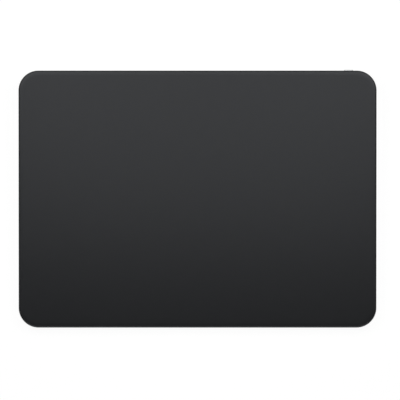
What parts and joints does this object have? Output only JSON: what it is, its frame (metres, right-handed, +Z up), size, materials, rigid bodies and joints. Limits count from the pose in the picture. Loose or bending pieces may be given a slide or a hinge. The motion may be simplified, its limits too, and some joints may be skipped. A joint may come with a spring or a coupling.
{
  "type": "trackpad",
  "caption": "Wireless desk trackpad: a floating black glass touch plate over a thin aluminium wedge case, with force flexures, a haptic drive, a charging port and a sliding power switch.",
  "frame": {"origin": "on the desk, under the middle of the case", "axes": "+X to the user's right, +Y away from the user towards the high rear edge, +Z up"},
  "size_m": [0.16, 0.1153, 0.0108],
  "materials": {
    "anodised_aluminium": "bead-blasted, silver anodised",
    "black_glass": "etched matt top, black backing",
    "foot_rubber": "smooth, dark grey",
    "gasket_foam": "closed-cell foam, black",
    "adhesive": "pressure-sensitive film",
    "circuit_board": "dark green solder mask",
    "chip_black": "moulded epoxy",
    "connector_plastic": "moulded, cream",
    "spring_steel": "rolled, hardened",
    "screw_steel": "zinc plated",
    "sheet_steel": "tinned sheet",
    "standoff_aluminium": "machined",
    "core_iron": "laminated, dark",
    "coil_copper": "enamelled copper wire",
    "contact_gold": "gold plated",
    "port_plastic": "moulded, black",
    "battery_wrap": "laminated foil pouch",
    "tape": "white double-sided tape",
    "ribbon_film": "amber polyimide",
    "grommet_gel": "soft silicone gel",
    "shutter_plastic": "moulded, black",
    "mark_green": "printed film, green",
    "lead_jacket": "thin coaxial jacket"
  },
  "bodies": {
    "housing": {"case": "anodised_aluminium", "foot_front_left": "foot_rubber", "foot_front_right": "foot_rubber", "foot_rear_left": "foot_rubber", "foot_rear_right": "foot_rubber", "rim_gasket": "gasket_foam", "logic_board": "circuit_board", "switch_board": "circuit_board", "battery_guard_boards": "circuit_board", "logic_chips": "chip_black", "switch_body": "chip_black", "antenna_carrier": "chip_black", "board_connectors": "connector_plastic", "flexure_screws": "screw_steel", "haptic_screws": "screw_steel", "logic_board_screws": "screw_steel", "port_clamp_screws": "screw_steel", "switch_board_screws": "screw_steel", "radio_shield": "sheet_steel", "charging_port_clamp": "sheet_steel", "haptic_bracket": "sheet_steel", "charging_port_shell": "sheet_steel", "haptic_core_left": "core_iron", "haptic_core_right": "core_iron", "haptic_coils_left": "coil_copper", "haptic_coils_right": "coil_copper", "antenna_trace": "coil_copper", "charging_port_contacts": "contact_gold", "charging_port_tongue": "port_plastic", "battery_cell_left": "battery_wrap", "battery_cell_right": "battery_wrap", "battery_tapes": "tape", "battery_ribbon": "ribbon_film", "haptic_ribbon": "ribbon_film", "force_ribbon_left": "ribbon_film", "force_ribbon_right": "ribbon_film", "switch_ribbon": "ribbon_film", "isolator_grommets": "grommet_gel", "antenna_lead": "lead_jacket"},
    "touch_carriage": {"force_flexure_front_left": "spring_steel", "force_flexure_front_right": "spring_steel", "force_flexure_rear_left": "spring_steel", "force_flexure_rear_right": "spring_steel", "strain_gauges": "ribbon_film"},
    "touch_plate": {"touch_glass": "black_glass", "glass_bond": "adhesive", "touch_board": "circuit_board", "touch_controller_chips": "chip_black", "touch_board_connector": "connector_plastic", "plate_standoffs": "standoff_aluminium", "haptic_armature": "core_iron", "touch_ribbon": "ribbon_film"},
    "power_switch": {"switch_knob": "anodised_aluminium", "switch_shutter": "shutter_plastic", "switch_on_mark": "mark_green"}
  },
  "joints": [
    {"name": "haptic_shift", "type": "slide", "parent": "housing", "child": "touch_carriage", "axis": [1, 0, 0], "range_m": [-0.0002, 0.0002], "stiffness_N_per_m": 25000, "deforming": ["isolator_grommets"]},
    {"name": "touch_press", "type": "slide", "parent": "touch_carriage", "child": "touch_plate", "axis": [0, 0, -1], "range_m": [0, 0.00025], "stiffness_N_per_m": 30000, "springref_m": -0.00008, "deforming": ["force_flexure_front_left", "force_flexure_front_right", "force_flexure_rear_left", "force_flexure_rear_right", "rim_gasket", "touch_ribbon"]},
    {"name": "power_switch_slide", "type": "slide", "parent": "housing", "child": "power_switch", "axis": [1, 0, 0], "range_m": [-0.003, 0]}
  ]
}
